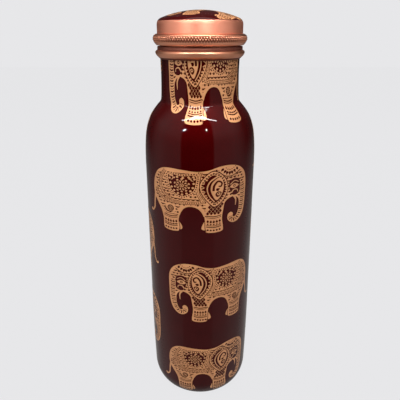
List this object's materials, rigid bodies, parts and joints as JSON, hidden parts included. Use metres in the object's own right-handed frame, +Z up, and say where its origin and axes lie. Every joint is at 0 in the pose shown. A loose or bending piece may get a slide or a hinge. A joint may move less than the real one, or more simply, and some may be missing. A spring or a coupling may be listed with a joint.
{
  "type": "copper water bottle",
  "caption": "Tall cylindrical lacquered copper bottle with a rounded shoulder, narrow neck and a domed screw lid that has a knurled grip bead.",
  "frame": {"origin": "centre of the base, on the plane that the foot rests on", "axes": "+Z up along the bottle's axis, -Y towards the printed front"},
  "size_m": [0.072, 0.072, 0.268],
  "materials": {
    "maroon_lacquer": "deep gloss lacquer with a printed gold pattern",
    "bare_copper": "bare drawn copper sheet, slightly dull",
    "turned_copper": "turned copper, satin",
    "lid_copper": "satin copper skirt under a lacquered dome",
    "knurled_copper": "diamond knurled copper",
    "gold_print": "gold ink print under clear lacquer",
    "silicone": "soft matt silicone"
  },
  "bodies": {
    "bottle": {"body_shell": "maroon_lacquer", "base_disc": "bare_copper", "neck_collar": "turned_copper"},
    "seal": {"cap_gasket": "silicone"},
    "cap": {"cap_shell": "lid_copper", "cap_knurled_ring": "knurled_copper", "cap_thread_ring": "turned_copper", "cap_inner_disc": "bare_copper"}
  },
  "joints": [
    {"name": "lid_lift", "type": "slide", "parent": "bottle", "child": "seal", "axis": [0, 0, 1], "range_m": [0, 0.02]},
    {"name": "lid_turn", "type": "hinge", "parent": "seal", "child": "cap", "pos_m": [0, 0, 0.25], "axis": [0, 0, 1], "range_deg": [0, 1800]}
  ],
  "couplings": [
    {"joint": "lid_lift", "follows": "lid_turn", "m_per_rad": 0.0006366}
  ]
}
